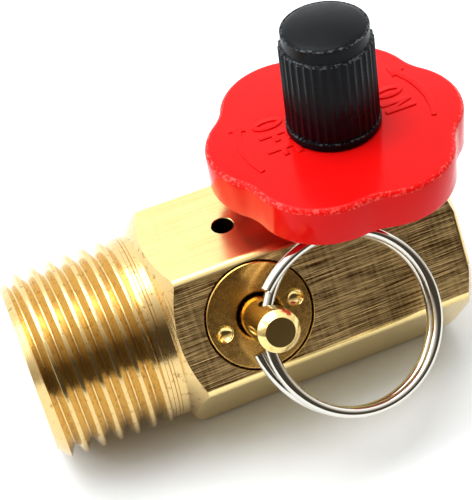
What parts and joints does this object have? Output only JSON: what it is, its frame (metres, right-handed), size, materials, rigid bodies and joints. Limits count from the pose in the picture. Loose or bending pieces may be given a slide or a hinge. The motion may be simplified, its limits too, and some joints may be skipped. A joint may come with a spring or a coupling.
{
  "type": "air tank manifold",
  "caption": "Hexagonal brass manifold for a portable air tank: tapered tank thread, lobed shut-off knob with a capped tyre valve, and a pull-ring relief valve",
  "frame": {"origin": "on the tank thread's axis, at its hand-tight plane, 8.0 mm from the thread's small end", "axes": "+X from the thread along the hexagonal bar, +Z along the knob's axis away from the bar, right-handed"},
  "size_m": [0.0522, 0.0344, 0.0428],
  "materials": {
    "brass_bar": "drawn bar with sawn ends and fine tool lines, bright on the thread",
    "turned_brass": "bright, as turned",
    "sealing_rubber": "smooth black nitrile rubber",
    "sealing_plastic": "smooth moulded plastic collar",
    "spring_steel": "drawn wire, uncoated",
    "red_plastic": "moulded, satin gloss",
    "black_plastic": "moulded, satin gloss, fine upright ribs",
    "plated_wire": "nickel-plated steel wire"
  },
  "bodies": {
    "manifold": {"body": "brass_bar", "bonnet": "turned_brass", "bonnet_gasket": "sealing_rubber", "relief_screw": "turned_brass", "relief_spring": "spring_steel"},
    "seat": {"seat_disc": "turned_brass", "seat_washer": "sealing_rubber"},
    "knob": {"knob": "red_plastic", "spindle": "turned_brass", "gland_o_ring": "sealing_rubber", "nose_o_ring": "sealing_rubber", "disc_clip": "spring_steel", "valve_stem": "turned_brass", "core_barrel": "turned_brass", "core_collar": "sealing_plastic", "core_spring": "spring_steel"},
    "core": {"core_pin": "turned_brass", "core_cup": "turned_brass", "core_washer": "sealing_rubber"},
    "cap_disc": {"cap_seal": "sealing_rubber"},
    "cap": {"valve_cap": "black_plastic"},
    "poppet": {"relief_poppet": "turned_brass", "relief_seal": "sealing_rubber"},
    "stem": {"relief_stem": "turned_brass"},
    "ring": {"pull_ring": "plated_wire"}
  },
  "joints": [
    {"name": "seat_lift", "type": "slide", "parent": "manifold", "child": "seat", "axis": [0, 0, 1], "range_m": [0, 0.000937]},
    {"name": "knob_turn", "type": "hinge", "parent": "seat", "child": "knob", "pos_m": [0.03025, 0, 0], "axis": [0, 0, 1], "range_deg": [0, 270]},
    {"name": "core_press", "type": "slide", "parent": "knob", "child": "core", "axis": [0, 0, -1], "range_m": [0, 0.001], "stiffness_N_per_m": 1500, "deforming": ["core_spring"]},
    {"name": "cap_lift", "type": "slide", "parent": "knob", "child": "cap_disc", "axis": [0, 0, 1], "range_m": [0, 0.00992]},
    {"name": "cap_turn", "type": "hinge", "parent": "cap_disc", "child": "cap", "pos_m": [0.03025, 0, 0], "axis": [0, 0, 1], "range_deg": [0, 4500]},
    {"name": "relief_pull", "type": "slide", "parent": "manifold", "child": "poppet", "axis": [0, -0.866, 0.5], "range_m": [0, 0.001], "stiffness_N_per_m": 2000, "springref_m": -0.0001, "deforming": ["relief_spring"]},
    {"name": "stem_turn", "type": "hinge", "parent": "poppet", "child": "stem", "pos_m": [0.01625, 0, 0], "axis": [0, 0.866, -0.5], "range_deg": [0, 34]},
    {"name": "ring_swing", "type": "hinge", "parent": "stem", "child": "ring", "pos_m": [0.01625, -0.01295, 0.00747], "axis": [-0.342, -0.4698, -0.8138], "range_deg": [0, 95]}
  ],
  "couplings": [
    {"joint": "knob_turn", "follows": "seat_lift", "rad_per_m": 5026.5},
    {"joint": "cap_turn", "follows": "cap_lift", "rad_per_m": 7913.3},
    {"joint": "stem_turn", "follows": "ring_swing", "ratio": 0.35}
  ]
}
